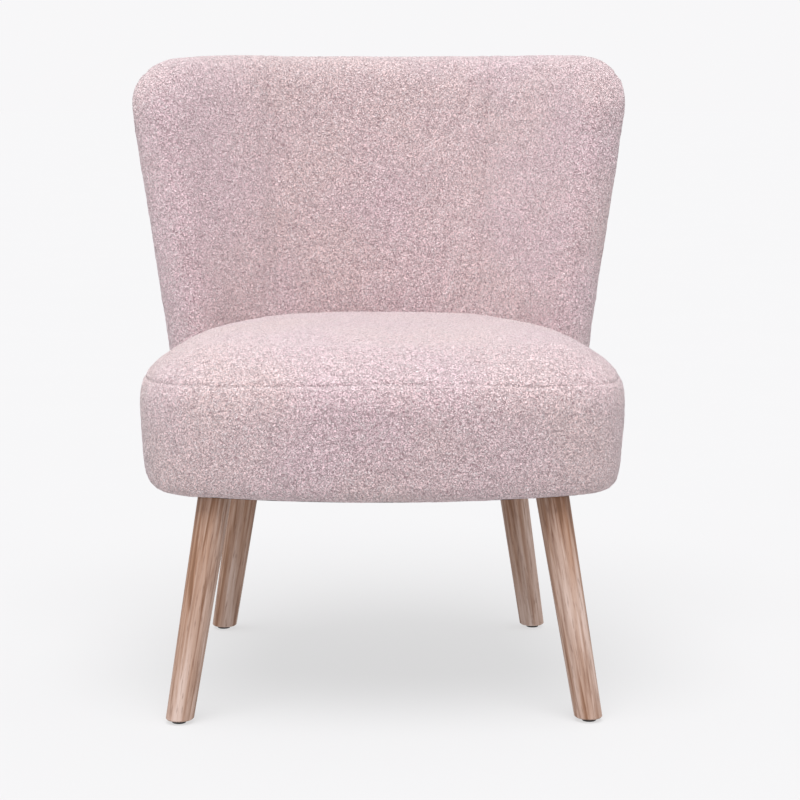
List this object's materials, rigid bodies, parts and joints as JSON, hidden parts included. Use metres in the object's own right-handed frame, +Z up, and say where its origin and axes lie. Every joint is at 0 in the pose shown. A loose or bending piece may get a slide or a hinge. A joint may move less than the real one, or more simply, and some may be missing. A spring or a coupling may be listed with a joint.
{
  "type": "accent chair",
  "caption": "Armless upholstered accent chair with a curved wrap-around back, a thick rounded seat and four splayed tapered wooden legs on glides.",
  "frame": {"origin": "on the floor, under the middle of the chair's box", "axes": "+Z up, +Y towards the back, +X towards the chair's left-hand side as its sitter faces -Y; -Y is the front"},
  "size_m": [0.6194, 0.5907, 0.7453],
  "materials": {
    "pink_boucle": "matte",
    "limed_wood": "matte",
    "black_nylon": "satin",
    "zinc_steel": "satin",
    "spring_steel": "satin",
    "liner_board": "matte",
    "frame_timber": "matte",
    "frame_plywood": "matte",
    "foam": "matte",
    "wadding": "matte",
    "felt": "matte",
    "dust_cloth": "matte"
  },
  "bodies": {
    "root": {"back_bolt_nuts": "zinc_steel", "back_bolt_washers": "zinc_steel", "back_bolts": "zinc_steel", "back_foam_centre": "foam", "back_foam_left": "foam", "back_foam_right": "foam", "back_inner_liner": "liner_board", "back_lumbar_rib": "frame_plywood", "back_middle_rib": "frame_plywood", "back_outer_liner": "liner_board", "back_post_inner_left": "frame_plywood", "back_post_inner_right": "frame_plywood", "back_post_wing_left": "frame_plywood", "back_post_wing_right": "frame_plywood", "back_rear_wadding": "wadding", "back_seat_rib": "frame_plywood", "back_top_rib": "frame_plywood", "dust_cover": "dust_cloth", "dust_cover_staples": "zinc_steel", "glide_front_left": "black_nylon", "glide_front_right": "black_nylon", "glide_nails": "zinc_steel", "glide_rear_left": "black_nylon", "glide_rear_right": "black_nylon", "inside_back_cover_centre": "pink_boucle", "inside_back_cover_left": "pink_boucle", "inside_back_cover_right": "pink_boucle", "leg_block_front_left": "frame_timber", "leg_block_front_right": "frame_timber", "leg_block_rear_left": "frame_timber", "leg_block_rear_right": "frame_timber", "leg_front_left": "limed_wood", "leg_front_right": "limed_wood", "leg_hanger_bolts": "zinc_steel", "leg_rear_left": "limed_wood", "leg_rear_right": "limed_wood", "leg_t_nuts": "zinc_steel", "outside_back_cover": "pink_boucle", "seat_border_cover": "pink_boucle", "seat_border_foam": "foam", "seat_foam_block": "foam", "seat_front_rail": "frame_timber", "seat_rear_rail": "frame_timber", "seat_side_rail_left": "frame_timber", "seat_side_rail_right": "frame_timber", "seat_springs": "spring_steel", "seat_top_cover": "pink_boucle", "seat_wadding": "wadding", "spring_clips": "zinc_steel", "spring_insulator": "felt", "wing_post_screws": "zinc_steel"}
  },
  "joints": []
}
